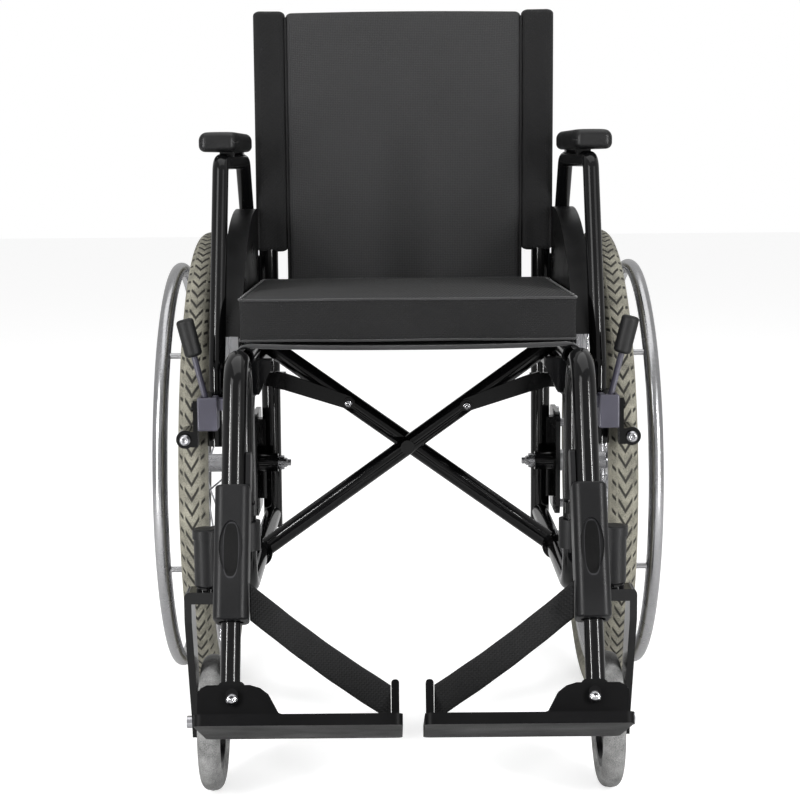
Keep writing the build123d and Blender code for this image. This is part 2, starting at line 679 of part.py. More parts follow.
def side_parts():
    """Everything on the +X side, by node name without its side."""
    return {
        "caster_housing": caster_housing(),
        "caster_fork": caster_fork(),
        "caster_tyre": caster_tyre(),
        "caster_hub": caster_hub(),
        "caster_axle": caster_axle(),
        "rear_tyre": rear_tyre(),
        "rear_rim": rear_rim(),
        "rear_hub": rear_hub(),
        "spokes": spokes(),
        "hand_rim": hand_rim(),
        "side_guard": side_guard(),
        "frame_bolts": frame_bolts(),
        "back_sleeve": back_sleeve(),
        "push_grip": push_grip(),
        "arm_frame": arm_frame(),
        "arm_pad": arm_pad(),
        "brake_block": brake_block(),
        "brake_lever": brake_lever(),
        "brake_grip": brake_grip(),
        "brake_shoe": brake_shoe(),
        "hanger_tube": hanger_tube(),
        "hanger_shroud": hanger_shroud(),
        "footrest_leg": footrest_leg(),
        "footplate": footplate(),
        "heel_strap": heel_strap(),
    }


parts = {}
for name, shape in side_parts().items():
    if isinstance(shape, list):
        parts["left_" + name] = shape
        parts["right_" + name] = [mirrored(s) for s in shape]
    else:
        parts["left_" + name] = shape
        parts["right_" + name] = mirrored(shape)

# The bar that rises towards the occupant's left is the front one of the two.
frame = side_frame()
parts["left_side_frame"] = frame + link_bracket(-bar_layer)
parts["right_side_frame"] = mirrored(frame + link_bracket(bar_layer))
parts["left_rising_bar"] = cross_bar(-bar_layer)
parts["right_rising_bar"] = mirrored(cross_bar(bar_layer))
parts["left_link"] = stabiliser_link(-bar_layer)
parts["right_link"] = mirrored(stabiliser_link(bar_layer))
parts["cross_bolt"] = cross_bolt()
parts["seat_sling"] = seat_sling()
parts["seat_cushion"] = seat_cushion()
parts["back_panel"] = back_panel()

os.makedirs("parts", exist_ok=True)
for name, shape in parts.items():
    group = shape if isinstance(shape, list) else [shape]
    solids = [solid for item in group for solid in item.solids()]
    export_step(Compound(children=solids), os.path.join("parts", name + ".step"))
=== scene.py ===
import math
import bpy
import bmesh
import numpy as np
from mathutils import Matrix, Vector


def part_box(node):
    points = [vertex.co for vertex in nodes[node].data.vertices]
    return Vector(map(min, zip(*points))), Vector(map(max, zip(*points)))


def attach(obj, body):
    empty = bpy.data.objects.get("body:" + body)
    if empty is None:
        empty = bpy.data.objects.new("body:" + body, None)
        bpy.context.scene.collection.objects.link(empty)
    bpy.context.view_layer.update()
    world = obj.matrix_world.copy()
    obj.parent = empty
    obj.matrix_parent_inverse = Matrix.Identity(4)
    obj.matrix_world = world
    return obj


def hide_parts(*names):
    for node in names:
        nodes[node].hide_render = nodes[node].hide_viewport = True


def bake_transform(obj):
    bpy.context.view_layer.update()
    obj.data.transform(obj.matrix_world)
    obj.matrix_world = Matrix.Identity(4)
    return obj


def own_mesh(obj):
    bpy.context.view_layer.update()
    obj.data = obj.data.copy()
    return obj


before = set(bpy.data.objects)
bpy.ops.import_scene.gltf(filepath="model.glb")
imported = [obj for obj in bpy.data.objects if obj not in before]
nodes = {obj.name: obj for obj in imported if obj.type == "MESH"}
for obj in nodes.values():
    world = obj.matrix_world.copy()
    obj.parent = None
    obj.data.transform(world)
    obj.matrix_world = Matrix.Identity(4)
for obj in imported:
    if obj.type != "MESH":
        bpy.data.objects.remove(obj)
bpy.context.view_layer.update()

print("stage: frame loaded,", len(nodes), "nodes")

# ---------- mesh helpers ----------


def addMesh(name, points, faces, smooth=True):
    mesh = bpy.data.meshes.new(name)
    mesh.from_pydata([tuple(p) for p in points], [], [tuple(f) for f in faces])
    mesh.validate()
    if smooth:
        mesh.polygons.foreach_set("use_smooth", np.ones(len(mesh.polygons), dtype=bool))
    piece = bpy.data.objects.new(name, mesh)
    bpy.context.scene.collection.objects.link(piece)
    return piece


def faceOut(piece):
    work = bmesh.new()
    work.from_mesh(piece.data)
    bmesh.ops.remove_doubles(work, verts=work.verts, dist=1e-6)
    bmesh.ops.recalc_face_normals(work, faces=work.faces)
    work.to_mesh(piece.data)
    work.free()
    piece.data.polygons.foreach_set("use_smooth", np.ones(len(piece.data.polygons), dtype=bool))
    return piece


def gridPiece(name, points, closeAcross=True, closeAlong=False, capEnds=True):
    # rows run along the piece, columns run round its section
    rows, columns = points.shape[:2]
    index = np.arange(rows * columns).reshape(rows, columns)
    nextRow = np.roll(index, -1, axis=0) if closeAlong else index[1:]
    here = index if closeAlong else index[:-1]
    if closeAcross:
        quads = np.stack([here, np.roll(here, -1, axis=1), np.roll(nextRow, -1, axis=1), nextRow], axis=-1)
    else:
        quads = np.stack([here[:, :-1], here[:, 1:], nextRow[:, 1:], nextRow[:, :-1]], axis=-1)
    faces = quads.reshape(-1, 4).tolist()
    if capEnds and closeAcross and not closeAlong:
        faces += [index[0][::-1].tolist(), index[-1].tolist()]
    return faceOut(addMesh(name, points.reshape(-1, 3), faces))


def ringPiece(name, centre, profile, turns, lift=None):
    # each profile point (radius, x) swept round the X axis; lift adds to the radius
    angle = np.linspace(0, 2 * np.pi, turns, endpoint=False)
    radius = np.repeat(profile[None, :, 0], turns, axis=0)
    if lift is not None:
        radius = radius + lift(angle[:, None], np.arange(len(profile))[None, :])
    x = np.repeat(profile[None, :, 1], turns, axis=0)
    points = np.stack([x + centre[0], radius * np.cos(angle)[:, None] + centre[1],
                       radius * np.sin(angle)[:, None] + centre[2]], axis=-1)
    return gridPiece(name, points, closeAcross=True, closeAlong=True)


def tubePiece(name, line, radius, sides=10, closed=False, flat=1.0, up=(0, 0, 1)):
    # a section carried along the line; flat squeezes it along the up direction
    line = np.array(line)
    if closed:
        run = np.roll(line, -1, axis=0) - np.roll(line, 1, axis=0)
    else:
        run = np.gradient(line, axis=0)
    run /= np.linalg.norm(run, axis=1)[:, None]
    side = np.cross(run, np.array(up, dtype=float)[None, :])
    side /= np.linalg.norm(side, axis=1)[:, None] + 1e-12
    top = np.cross(side, run)
    angle = np.linspace(0, 2 * np.pi, sides, endpoint=False)
    radius = np.broadcast_to(np.asarray(radius, dtype=float), (len(line),))
    points = line[:, None] + radius[:, None, None] * (
        side[:, None] * np.cos(angle)[None, :, None] + flat * top[:, None] * np.sin(angle)[None, :, None])
    return gridPiece(name, points, closeAcross=True, closeAlong=closed)


def boxGrid(name, low, high, round_, cells, shape=None):
    # six gridded faces; each point is pulled to a rounded box, then shape() moves it
    low, high = np.array(low, dtype=float), np.array(high, dtype=float)
    round_ = np.broadcast_to(np.asarray(round_, dtype=float), (3,))
    points, faces, start = [], [], 0
    for axis in range(3):
        u, v = [k for k in range(3) if k != axis]
        for end in (0, 1):
            a = np.linspace(0, 1, cells[u] + 1)
            b = np.linspace(0, 1, cells[v] + 1)
            a = a - 0.12 * np.sin(2 * np.pi * a) / (2 * np.pi) * 4
            b = b - 0.12 * np.sin(2 * np.pi * b) / (2 * np.pi) * 4
            grid = np.zeros((len(a), len(b), 3))
            grid[..., u] = low[u] + (high[u] - low[u]) * a[:, None]
            grid[..., v] = low[v] + (high[v] - low[v]) * b[None, :]
            grid[..., axis] = (low, high)[end][axis]
            index = start + np.arange(len(a) * len(b)).reshape(len(a), len(b))
            quads = np.stack([index[:-1, :-1], index[1:, :-1], index[1:, 1:], index[:-1, 1:]], axis=-1)
            faces += quads.reshape(-1, 4).tolist()
            points.append(grid.reshape(-1, 3))
            start += len(a) * len(b)
    p = np.vstack(points)
    inner = np.clip(p, low + round_, high - round_)
    off = (p - inner) / round_
    size = np.linalg.norm(off, axis=1)[:, None]
    p = inner + np.where(size > 0, off / np.maximum(size, 1e-9), 0) * round_
    if shape is not None:
        p = shape(p)
    return faceOut(addMesh(name, p, faces))


def ripple(p, scale, seed):
    # a few sine waves at seeded directions, smooth and repeatable, from -1 to 1
    rng = np.random.default_rng(seed)
    total = np.zeros(len(p))
    for k in range(5):
        direction = rng.normal(size=3)
        direction /= np.linalg.norm(direction)
        total += np.sin(p @ direction * (2 * np.pi / (scale * rng.uniform(0.6, 1.6))) + rng.uniform(0,
            6.28)) / 5
    return total


# ---------- shader helpers ----------


def link(tree, a, b):
    tree.links.new(a, b)


def makeGroup(name, inputs, outputs, build):
    group = bpy.data.node_groups.new(name, "ShaderNodeTree")
    for label, kind, value in inputs:
        socket = group.interface.new_socket(name=label, in_out="INPUT", socket_type=kind)
        if value is not None:
            socket.default_value = value
    for label, kind in outputs:
        group.interface.new_socket(name=label, in_out="OUTPUT", socket_type=kind)
    source = group.nodes.new("NodeGroupInput")
    target = group.nodes.new("NodeGroupOutput")
    build(group, source, target)
    return group


def mathNode(tree, operation, a, b=None, clamp=False):
    node = tree.nodes.new("ShaderNodeMath")
    node.operation = operation
    node.use_clamp = clamp
    for socket, value in zip(node.inputs, (a, b)):
        if value is None:
            continue
        if isinstance(value, (int, float)):
            socket.default_value = value
        else:
            link(tree, value, socket)
    return node.outputs[0]


def noiseNode(tree, vector, scale, detail=3.0, rough=0.55):
    node = tree.nodes.new("ShaderNodeTexNoise")
    node.inputs["Detail"].default_value = detail
    node.inputs["Roughness"].default_value = rough
    link(tree, vector, node.inputs["Vector"])
    if isinstance(scale, (int, float)):
        node.inputs["Scale"].default_value = scale
    else:
        link(tree, scale, node.inputs["Scale"])
    return node.outputs["Fac"]


def buildWeave(tree, source, target):
    # threads over and under: two sine waves at right angles, checkered against each other
    split = tree.nodes.new("ShaderNodeSeparateXYZ")
    link(tree, source.outputs["Vector"], split.inputs[0])
    across = mathNode(tree, "MULTIPLY", mathNode(tree, "ADD", split.outputs[0], mathNode(tree, "MULTIPLY",
        split.outputs[1], 0.6)), source.outputs["Threads"])
    along = mathNode(tree, "MULTIPLY", mathNode(tree, "ADD", split.outputs[2], mathNode(tree, "MULTIPLY",
        split.outputs[1], 0.8)), source.outputs["Threads"])
    warp = mathNode(tree, "ABSOLUTE", mathNode(tree, "SINE", mathNode(tree, "MULTIPLY", across, math.pi)))
    weft = mathNode(tree, "ABSOLUTE", mathNode(tree, "SINE", mathNode(tree, "MULTIPLY", along, math.pi)))
    turn = mathNode(tree, "FLOORED_MODULO", mathNode(tree, "ADD", mathNode(tree, "FLOOR", across),
        mathNode(tree, "FLOOR", along)), 2.0)
    mix = tree.nodes.new("ShaderNodeMix")
    link(tree, turn, mix.inputs["Factor"])
    link(tree, warp, mix.inputs["A"])
    link(tree, weft, mix.inputs["B"])
    fuzz = noiseNode(tree, source.outputs["Vector"], 900.0, 2.0)
    blotch = noiseNode(tree, source.outputs["Vector"], source.outputs["Blotch"], 3.0)
    height = mathNode(tree, "ADD", mathNode(tree, "MULTIPLY", mix.outputs["Result"], 0.7),
        mathNode(tree, "MULTIPLY", fuzz, 0.5))
    link(tree, height, target.inputs["Height"])
    link(tree, blotch, target.inputs["Blotch"])


def buildGrain(tree, source, target):
    # fine moulded grain over a slow change, with specks of dust
    fine = noiseNode(tree, source.outputs["Vector"], source.outputs["Fine"], 2.0)
    slow = noiseNode(tree, source.outputs["Vector"], source.outputs["Slow"], 4.0)
    speck = noiseNode(tree, source.outputs["Vector"], 420.0, 5.0, 0.7)
    dust = mathNode(tree, "MULTIPLY", mathNode(tree, "SUBTRACT", speck, 0.6, clamp=True), 3.0, clamp=True)
    link(tree, fine, target.inputs["Grain"])
    link(tree, slow, target.inputs["Slow"])
    link(tree, dust, target.inputs["Dust"])


weaveGroup = makeGroup("weaveField", [("Vector", "NodeSocketVector", None), ("Threads", "NodeSocketFloat",
    600.0), ("Blotch", "NodeSocketFloat", 9.0)],
                       [("Height", "NodeSocketFloat"), ("Blotch", "NodeSocketFloat")], buildWeave)
grainGroup = makeGroup("grainField", [("Vector", "NodeSocketVector", None), ("Fine", "NodeSocketFloat",
    1500.0), ("Slow", "NodeSocketFloat", 14.0)],
                       [("Grain", "NodeSocketFloat"), ("Slow", "NodeSocketFloat"),
                       ("Dust", "NodeSocketFloat")], buildGrain)


def startMaterial(name):
    material = bpy.data.materials.new(name)
    material.use_nodes = True
    tree = material.node_tree
    shader = tree.nodes["Principled BSDF"]
    place = tree.nodes.new("ShaderNodeTexCoord").outputs["Object"]
    return material, tree, shader, place


def rampNode(tree, fac, stops):
    node = tree.nodes.new("ShaderNodeValToRGB")
    link(tree, fac, node.inputs[0])
    ramp = node.color_ramp
    while len(ramp.elements) < len(stops):
        ramp.elements.new(0.5)
    for element, (place, colour) in zip(ramp.elements, stops):
        element.position = place
        element.color = (*colour, 1)
    return node.outputs[0]


def rangeNode(tree, value, low, high, fromLow=0.3, fromHigh=0.7):
    node = tree.nodes.new("ShaderNodeMapRange")
    link(tree, value, node.inputs["Value"])
    for label, number in (("From Min", fromLow), ("From Max", fromHigh), ("To Min", low), ("To Max", high)):
        node.inputs[label].default_value = number
    return node.outputs["Result"]


def bumpNode(tree, shader, height, strength, distance, before=None):
    node = tree.nodes.new("ShaderNodeBump")
    node.inputs["Strength"].default_value = strength
    node.inputs["Distance"].default_value = distance
    link(tree, height, node.inputs["Height"])
    if before is not None:
        link(tree, before, node.inputs["Normal"])
    link(tree, node.outputs[0], shader.inputs["Normal"])
    return node.outputs[0]


def fabricMaterial(name, dark, light, threads=560.0, rough=0.86, sheen=0.25, bump=0.6):
    material, tree, shader, place = startMaterial(name)
    field = tree.nodes.new("ShaderNodeGroup")
    field.node_tree = weaveGroup
    field.inputs["Threads"].default_value = threads
    link(tree, place, field.inputs["Vector"])
    shade = mathNode(tree, "ADD", mathNode(tree, "MULTIPLY", field.outputs["Height"], 0.75),
        mathNode(tree, "MULTIPLY", field.outputs["Blotch"], 0.35))
    link(tree, rampNode(tree, shade, [(0.25, dark), (0.85, light)]), shader.inputs["Base Color"])
    link(tree, rangeNode(tree, field.outputs["Blotch"], rough - 0.06, rough + 0.06), shader.inputs["Roughness"])
    shader.inputs["Sheen Weight"].default_value = sheen
    shader.inputs["Sheen Roughness"].default_value = 0.5
    shader.inputs["Specular IOR Level"].default_value = 0.3
    bumpNode(tree, shader, field.outputs["Height"], bump, 0.0006)
    return material


def grainMaterial(name, colour, spread=0.25, rough=0.45, roughSpread=0.08, bump=0.25, metallic=0.0, coat=0.0,
                  fine=1500.0, slow=14.0, dust=0.12, depth=0.0002, specular=0.5):
    material, tree, shader, place = startMaterial(name)
    field = tree.nodes.new("ShaderNodeGroup")
    field.node_tree = grainGroup
    field.inputs["Fine"].default_value = fine
    field.inputs["Slow"].default_value = slow
    link(tree, place, field.inputs["Vector"])
    base = np.array(colour)
    tint = rampNode(tree, field.outputs["Slow"], [(0.3, tuple(base * (1 - spread))), (0.7,
        tuple(np.minimum(base * (1 + spread), 1)))])
    mix = tree.nodes.new("ShaderNodeMix")
    mix.data_type = "RGBA"
    link(tree, mathNode(tree, "MULTIPLY", field.outputs["Dust"], dust), mix.inputs["Factor"])
    link(tree, tint, mix.inputs["A"])
    mix.inputs["B"].default_value = (0.4, 0.39, 0.37, 1)
    link(tree, mix.outputs["Result"], shader.inputs["Base Color"])
    link(tree, rangeNode(tree, field.outputs["Slow"], rough - roughSpread, rough + roughSpread),
        shader.inputs["Roughness"])
    shader.inputs["Metallic"].default_value = metallic
    shader.inputs["Coat Weight"].default_value = coat
    shader.inputs["Coat Roughness"].default_value = 0.06
    shader.inputs["Specular IOR Level"].default_value = specular
    bumpNode(tree, shader, field.outputs["Grain"], bump, depth)
    return material


def brushedMaterial(name, colour, rough, stretch):
    # fine lines: noise drawn out along one axis, on top of slow smudges
    material, tree, shader, place = startMaterial(name)
    mapping = tree.nodes.new("ShaderNodeMapping")
    mapping.inputs["Scale"].default_value = stretch
    link(tree, place, mapping.inputs["Vector"])
    lines = noiseNode(tree, mapping.outputs[0], 300.0, 4.0, 0.6)
    slow = noiseNode(tree, place, 11.0, 3.0)
    base = np.array(colour)
    link(tree, rampNode(tree, mathNode(tree, "ADD", mathNode(tree, "MULTIPLY", lines, 0.5),
        mathNode(tree, "MULTIPLY", slow, 0.5)),
                        [(0.35, tuple(base * 0.86)), (0.65, tuple(np.minimum(base * 1.08, 1)))]),
                        shader.inputs["Base Color"])
    link(tree, rangeNode(tree, slow, rough - 0.07, rough + 0.09), shader.inputs["Roughness"])
    shader.inputs["Metallic"].default_value = 1.0
    bumpNode(tree, shader, lines, 0.12, 0.0001)
    return material


materials = {
    "blackPaint": grainMaterial("blackPaint", (0.0016, 0.0016, 0.0018), 0.3, 0.12, 0.04, 0.04, coat=0.0,
    fine=260.0, dust=0.01, depth=0.0002, specular=0.3),
    "greyPlastic": grainMaterial("greyPlastic", (0.006, 0.006, 0.0065), 0.2, 0.4, 0.06, 0.3, dust=0.02,
    specular=0.24),
    "blackPlastic": grainMaterial("blackPlastic", (0.0022, 0.0022, 0.0024), 0.25, 0.32, 0.08, 0.3,
    dust=0.015, specular=0.2),
    "blackRubber": grainMaterial("blackRubber", (0.004, 0.004, 0.0042), 0.25, 0.55, 0.06, 0.5, dust=0.04,
    depth=0.0003, specular=0.3),
    "padFoam": grainMaterial("padFoam", (0.003, 0.003, 0.0033), 0.2, 0.42, 0.07, 0.6, fine=700.0, dust=0.02,
    depth=0.0004, specular=0.3),
    "brightSteel": brushedMaterial("brightSteel", (0.5, 0.5, 0.52), 0.2, (1.0, 1.0, 1.0)),
    "rimAluminium": brushedMaterial("rimAluminium", (0.42, 0.42, 0.43), 0.24, (1.0, 1.0, 1.0)),
    "platePlastic": grainMaterial("platePlastic", (0.002, 0.002, 0.0022), 0.25, 0.5, 0.08, 0.3, dust=0.01,
    specular=0.08),
    "shroudPlastic": grainMaterial("shroudPlastic", (0.006, 0.006, 0.0065), 0.2, 0.4, 0.06, 0.3, dust=0.02,
    specular=0.2),
    "greyCasting": grainMaterial("greyCasting", (0.045, 0.043, 0.062), 0.14, 0.42, 0.06, 0.3, coat=0.2,
    dust=0.1),
    "fabricBlack": fabricMaterial("fabricBlack", (0.003, 0.003, 0.0032), (0.033, 0.033, 0.034), sheen=0.008,
    threads=440.0, bump=0.9),
    "fabricSeat": fabricMaterial("fabricSeat", (0.0008, 0.0008, 0.0009), (0.0062, 0.0062, 0.0066),
    sheen=0.035, threads=440.0, bump=0.9),
    "fabricEdge": fabricMaterial("fabricEdge", (0.004, 0.004, 0.0043), (0.021, 0.021, 0.022), threads=700.0,
    rough=0.7, bump=0.4),
    "webbing": fabricMaterial("webbing", (0.0015, 0.0015, 0.0016), (0.008, 0.008, 0.0085), threads=420.0,
    rough=0.8, bump=1.0, sheen=0.0),
}
print("stage: shaders made")


def ramp01(tree, value, low, high):
    return rangeNode(tree, value, 0.0, 1.0, low, high)


def pulse(tree, wave, width):
    # 1 in the middle of each whole step of the wave, 0 away from it
    part = mathNode(tree, "FLOORED_MODULO", wave, 1.0)
    off = mathNode(tree, "ABSOLUTE", mathNode(tree, "SUBTRACT", part, 0.5))
    return ramp01(tree, off, width, width * 0.45)


def buildTread(tree, source, target):
    # V grooves in the middle band and slashes beside it, from angle round the axle and distance across
    split = tree.nodes.new("ShaderNodeSeparateXYZ")
    link(tree, source.outputs["Vector"], split.inputs[0])
    x, y, z = split.outputs
    turn = mathNode(tree, "MULTIPLY", mathNode(tree, "ARCTAN2", z, y), source.outputs["Count"])
    turn = mathNode(tree, "MULTIPLY", turn, 1 / (2 * math.pi))
    across = mathNode(tree, "ABSOLUTE", x)
    vee = pulse(tree, mathNode(tree, "ADD", turn, mathNode(tree, "MULTIPLY", across, 1 / 0.0105)), 0.21)
    slash = pulse(tree, mathNode(tree, "ADD", turn, mathNode(tree, "MULTIPLY", across, 1 / 0.014)), 0.17)
    vee = mathNode(tree, "MULTIPLY", vee, ramp01(tree, across, 0.0086, 0.0078))
    edge = mathNode(tree, "MULTIPLY", ramp01(tree, across, 0.0103, 0.0108),
        ramp01(tree, across, 0.0148, 0.0142))
    slash = mathNode(tree, "MULTIPLY", slash, edge)
    radius = mathNode(tree, "SQRT", mathNode(tree, "ADD", mathNode(tree, "MULTIPLY", y, y), mathNode(tree,
        "MULTIPLY", z, z)))
    outer = ramp01(tree, mathNode(tree, "SUBTRACT", radius, source.outputs["Radius"]), -0.011, -0.009)
    groove = mathNode(tree, "MULTIPLY", mathNode(tree, "MAXIMUM", vee, slash), outer)
    link(tree, groove, target.inputs["Groove"])


treadGroup = makeGroup("treadField", [("Vector", "NodeSocketVector", None), ("Count", "NodeSocketFloat",
    110.0), ("Radius", "NodeSocketFloat", 0.305)],
                       [("Groove", "NodeSocketFloat")], buildTread)


def tyreMaterial(name, colour, grooveShade, centre=None, radius=0.305):
    material, tree, shader, place = startMaterial(name)
    field = tree.nodes.new("ShaderNodeGroup")
    field.node_tree = grainGroup
    field.inputs["Fine"].default_value = 900.0
    field.inputs["Slow"].default_value = 60.0
    link(tree, place, field.inputs["Vector"])
    base = np.array(colour)
    worn = rampNode(tree, mathNode(tree, "ADD", mathNode(tree, "MULTIPLY", field.outputs["Slow"], 0.5),
        mathNode(tree, "MULTIPLY", field.outputs["Grain"], 0.5)),
                    [(0.34, tuple(base * 0.35)), (0.66, tuple(base * 1.4))])
    if centre is not None:
        mapping = tree.nodes.new("ShaderNodeMapping")
        mapping.inputs["Location"].default_value = tuple(-c for c in centre)
        link(tree, place, mapping.inputs["Vector"])
        tread = tree.nodes.new("ShaderNodeGroup")
        tread.node_tree = treadGroup
        tread.inputs["Radius"].default_value = radius
        link(tree, mapping.outputs[0], tread.inputs["Vector"])
        groove = tread.outputs["Groove"]
    else:
        attribute = tree.nodes.new("ShaderNodeAttribute")
        attribute.attribute_name = "groove"
        groove = attribute.outputs["Fac"]
    # painted shade: the grooves are coloured grooveShade, on top of their bump
    mix = tree.nodes.new("ShaderNodeMix")
    mix.data_type = "RGBA"
    link(tree, groove, mix.inputs["Factor"])
    link(tree, worn, mix.inputs["A"])
    mix.inputs["B"].default_value = (*grooveShade, 1)
    link(tree, mix.outputs["Result"], shader.inputs["Base Color"])
    link(tree, rangeNode(tree, field.outputs["Slow"], 0.68, 0.84), shader.inputs["Roughness"])
    shader.inputs["Specular IOR Level"].default_value = 0.35
    height = mathNode(tree, "SUBTRACT", mathNode(tree, "MULTIPLY", field.outputs["Grain"], 0.2), groove)
    bumpNode(tree, shader, height, 0.7, 0.0012)
    return material


# casterTyre: the second colour is painted shade in the creases beside the tread ridge
materials["casterTyre"] = tyreMaterial("casterTyre", (0.19, 0.19, 0.187), (0.09, 0.09, 0.09))

def paintRecessShadeAndHighlight(material):
    # painted shade: a near-black oval over the recess on the front of each shroud, with a painted highlight
    # along its pale rim, mirrored by the distance from the middle
    low, high = [np.array(c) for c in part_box("left_hanger_shroud")]
    tree = material.node_tree
    shader = next(n for n in tree.nodes if n.type == "BSDF_PRINCIPLED")
    source = shader.inputs["Base Color"].links[0].from_socket
    place = tree.nodes.new("ShaderNodeTexCoord").outputs["Object"]
    split = tree.nodes.new("ShaderNodeSeparateXYZ")
    link(tree, place, split.inputs[0])
    wide = (high[0] - low[0]) * recess["wide"]
    tall = (high[2] - low[2]) * recess["tall"]
    across = mathNode(tree, "SUBTRACT", mathNode(tree, "ABSOLUTE", split.outputs[0]),
        float((low[0] + high[0]) / 2))
    up = mathNode(tree, "SUBTRACT", split.outputs[2], float(high[2] - (high[2] - low[2]) * recess["from_top"]))
    reach = mathNode(tree, "ADD", mathNode(tree, "POWER", mathNode(tree, "ABSOLUTE", mathNode(tree,
        "DIVIDE", across, float(wide))), recess["corner"]),
                     mathNode(tree, "POWER", mathNode(tree, "ABSOLUTE",
                     mathNode(tree, "DIVIDE", up, float(tall))), recess["corner"]))
    # painted shade inside the oval (0.12), painted highlight on its rim (4.0), the plastic's own colour outside
    # (1.0)
    colour = rampNode(tree, mathNode(tree, "MULTIPLY", reach, 0.5),
        [(0.0, (0.12, 0.12, 0.12)), (0.44, (0.12, 0.12, 0.12)), (0.47, (4.0, 4.0, 4.0)),
        (0.53, (4.0, 4.0, 4.0)), (0.57, (1.0, 1.0, 1.0))])
    tint = tree.nodes.new("ShaderNodeMix")
    tint.data_type = "RGBA"
    tint.blend_type = "MULTIPLY"
    tint.inputs["Factor"].default_value = 1.0
    link(tree, source, tint.inputs["A"])
    link(tree, colour, tint.inputs["B"])
    link(tree, tint.outputs["Result"], shader.inputs["Base Color"])


# size and place of the painted shade oval and its painted highlight rim
recess = {"wide": 0.22, "tall": 0.15, "from_top": 0.53, "corner": 2.8}
paintRecessShadeAndHighlight(materials["shroudPlastic"])

nodeFinish = {
    "side_frame": "blackPaint", "caster_housing": "greyPlastic", "side_guard": "blackPlastic",
    "frame_bolts": "brightSteel",
    "push_grip": "blackRubber", "brake_block": "greyCasting", "rear_rim": "rimAluminium",
    "rear_hub": "rimAluminium",
    "spokes": "brightSteel", "hand_rim": "rimAluminium", "caster_fork": "blackPaint",
    "caster_axle": "brightSteel",
    "caster_hub": "blackPlastic", "arm_frame": "blackPaint", "brake_lever": "greyCasting",
    "brake_grip": "blackRubber",
    "brake_shoe": "blackPaint", "hanger_tube": "blackPaint", "hanger_shroud": "shroudPlastic",
    "footrest_leg": "blackPaint",
    "footplate": "platePlastic", "link": "blackPaint", "rising_bar": "blackPaint", "cross_bolt": "blackPaint",
}


def paint(piece, finish):
    piece.data.materials.clear()
    piece.data.materials.append(materials[finish])


for name, node in nodes.items():
    for key, finish in nodeFinish.items():
        if name.endswith(key):
            if node.material_slots:
                for slot in node.material_slots:
                    slot.material = materials[finish]
            else:
                node.data.materials.append(materials[finish])
print("stage: CAD nodes painted")

# ---------- tyres ----------
# groove: painted shade colour for the tread grooves
tyre = {"turns": 320, "depth": 0.0348, "colour": (0.2, 0.192, 0.155), "groove": (0.016, 0.015, 0.012)}


def rearTyre(side):
    low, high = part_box(side + "_rear_tyre")
    centre = (np.array(low) + np.array(high)) / 2
    radius = (high[2] - low[2]) / 2
    half = (high[0] - low[0]) / 2
    # an oval section from bead to bead, flatter under the tread
    angle = np.linspace(-0.5 * np.pi, 1.5 * np.pi, 44, endpoint=False)
    inner = radius - tyre["depth"]
    height = np.where(np.sin(angle) > 0, radius - inner - 0.014, 0.0135)
    across = np.sign(np.cos(angle)) * np.abs(np.cos(angle)) ** 0.85 * half
    profile = np.stack([inner + 0.014 + height * np.sign(np.sin(angle)) * np.abs(np.sin(angle)) ** 0.9,
        -across], axis=-1)
    profile[:, 1] = np.where(np.sin(angle) < -0.3, profile[:, 1] * (1 - 0.35 * (-np.sin(angle) - 0.3)),
        profile[:, 1])
    piece = ringPiece(side + "_tyre_tread", centre, profile, tyre["turns"])
    name = side + "RearTyre"
    materials[name] = tyreMaterial(name, tyre["colour"], tyre["groove"], centre, radius)
    piece.data.materials.append(materials[name])
    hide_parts(side + "_rear_tyre")
    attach(piece, side + "_wheel")


def casterTyre(side):
    low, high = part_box(side + "_caster_tyre")
    centre = (np.array(low) + np.array(high)) / 2
    radius = (high[2] - low[2]) / 2
    half = (high[0] - low[0]) / 2
    angle = np.linspace(-0.5 * np.pi, 1.5 * np.pi, 48, endpoint=False)
    middle = radius - 0.0115
    profile = np.stack([np.where(np.sin(angle) > 0, middle + 0.0115 * np.abs(np.sin(angle)) ** 1.1,
        middle - 0.0120 * np.abs(np.sin(angle)) ** 0.7),
                        -np.sign(np.cos(angle)) * np.abs(np.cos(angle)) ** 0.7 * half], axis=-1)
    profile[:, 1] = np.where(np.sin(angle) < -0.2, np.clip(profile[:, 1], -0.0092, 0.0092), profile[:, 1])
    ridge = 0.0004 * np.exp(-(profile[:, 1] / 0.0008) ** 2) * (np.sin(angle) > 0)
    piece = ringPiece(side + "_caster_ring", centre, profile, 160, lambda t, c: ridge[c] - 0.0004 + 0 * t)
    v = np.empty(len(piece.data.vertices) * 3)
    piece.data.vertices.foreach_get("co", v)
    v = v.reshape(-1, 3) - centre
    # painted shade: two thin dark lines in the creases beside the ridge of the tread
    attribute = piece.data.attributes.new("groove", "FLOAT", "POINT")
    attribute.data.foreach_set("value", 0.6 * np.exp(-((np.abs(v[:,
        0]) - 0.0012) / 0.0006) ** 2) * (np.hypot(v[:, 1], v[:, 2]) > radius - 0.004))
    piece.data.materials.append(materials["casterTyre"])
    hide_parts(side + "_caster_tyre")
    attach(piece, side + "_caster_wheel")


for side in ("left", "right"):
    rearTyre(side)
    casterTyre(side)
print("stage: tyres made")

# ---------- seat ----------
cushion = {"round": 0.0035, "crown": 0.003, "piping": 0.0013, "waist": 0.0012, "rise": 0.0045}


